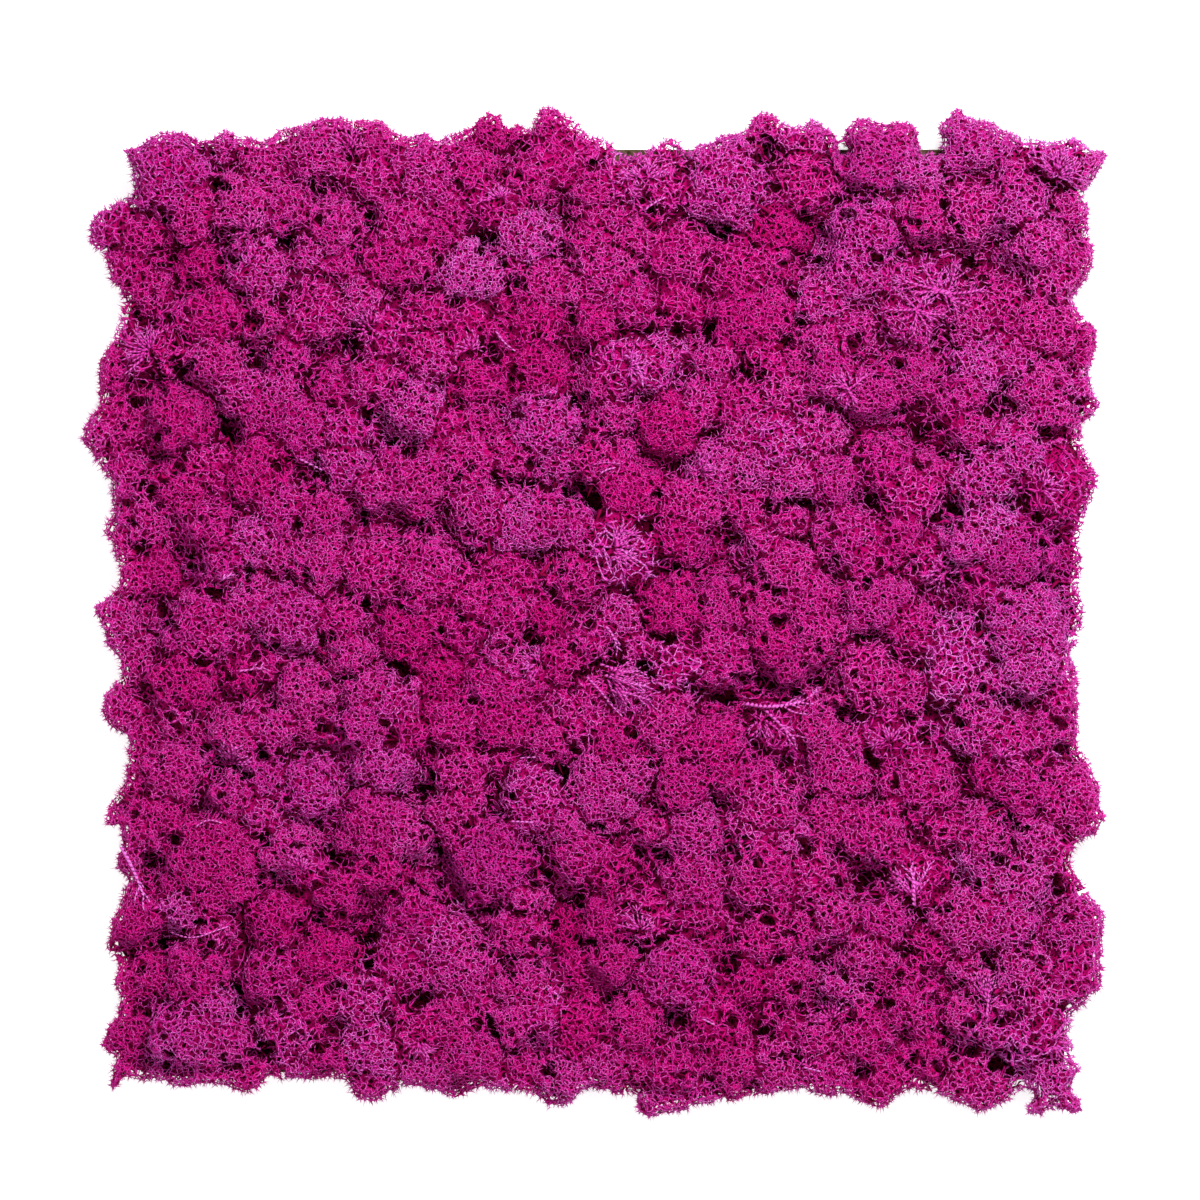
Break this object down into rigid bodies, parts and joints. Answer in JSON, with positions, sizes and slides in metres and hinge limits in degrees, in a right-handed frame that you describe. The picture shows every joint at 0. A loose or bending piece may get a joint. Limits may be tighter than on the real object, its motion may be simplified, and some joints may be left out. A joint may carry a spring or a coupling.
{
  "type": "moss panel",
  "caption": "Square panel of dyed reindeer moss: picked lichen tufts set side by side on a thin backing board, overhanging its rim.",
  "frame": {"origin": "centre of the backing board's flat back face", "axes": "+Z out of the board's front through the moss, +Y towards the edge that is uppermost when the panel hangs, +X to the right of someone facing the moss"},
  "size_m": [0.5509, 0.5418, 0.05],
  "materials": {
    "board_fibre": "matte",
    "moss_pink": "matte",
    "moss_magenta": "matte"
  },
  "bodies": {
    "root": {"backing_board": "board_fibre", "tuft_01": "moss_pink", "tuft_02": "moss_pink", "tuft_03": "moss_pink", "tuft_04": "moss_pink", "tuft_05": "moss_pink", "tuft_06": "moss_pink", "tuft_07": "moss_pink", "tuft_08": "moss_pink", "tuft_09": "moss_magenta", "tuft_10": "moss_pink", "tuft_11": "moss_magenta", "tuft_12": "moss_pink", "tuft_13": "moss_magenta", "tuft_14": "moss_pink", "tuft_15": "moss_pink", "tuft_16": "moss_magenta", "tuft_17": "moss_pink", "tuft_18": "moss_pink", "tuft_19": "moss_magenta", "tuft_20": "moss_pink", "tuft_21": "moss_pink", "tuft_22": "moss_pink", "tuft_23": "moss_pink", "tuft_24": "moss_magenta", "tuft_25": "moss_pink", "tuft_26": "moss_pink", "tuft_27": "moss_pink", "tuft_28": "moss_pink", "tuft_29": "moss_pink", "tuft_30": "moss_pink", "tuft_31": "moss_magenta", "tuft_32": "moss_pink", "tuft_33": "moss_pink", "tuft_34": "moss_magenta", "tuft_35": "moss_pink", "tuft_36": "moss_pink", "tuft_37": "moss_pink", "tuft_38": "moss_magenta", "tuft_39": "moss_pink", "tuft_40": "moss_pink", "tuft_41": "moss_pink", "tuft_42": "moss_pink", "tuft_43": "moss_pink", "tuft_44": "moss_pink", "tuft_45": "moss_magenta", "tuft_46": "moss_pink", "tuft_47": "moss_pink", "tuft_48": "moss_pink", "tuft_49": "moss_pink", "tuft_50": "moss_pink", "tuft_51": "moss_pink", "tuft_52": "moss_magenta", "tuft_53": "moss_pink", "tuft_54": "moss_pink", "tuft_55": "moss_magenta", "tuft_56": "moss_magenta", "tuft_57": "moss_magenta", "tuft_58": "moss_pink"}
  },
  "joints": []
}
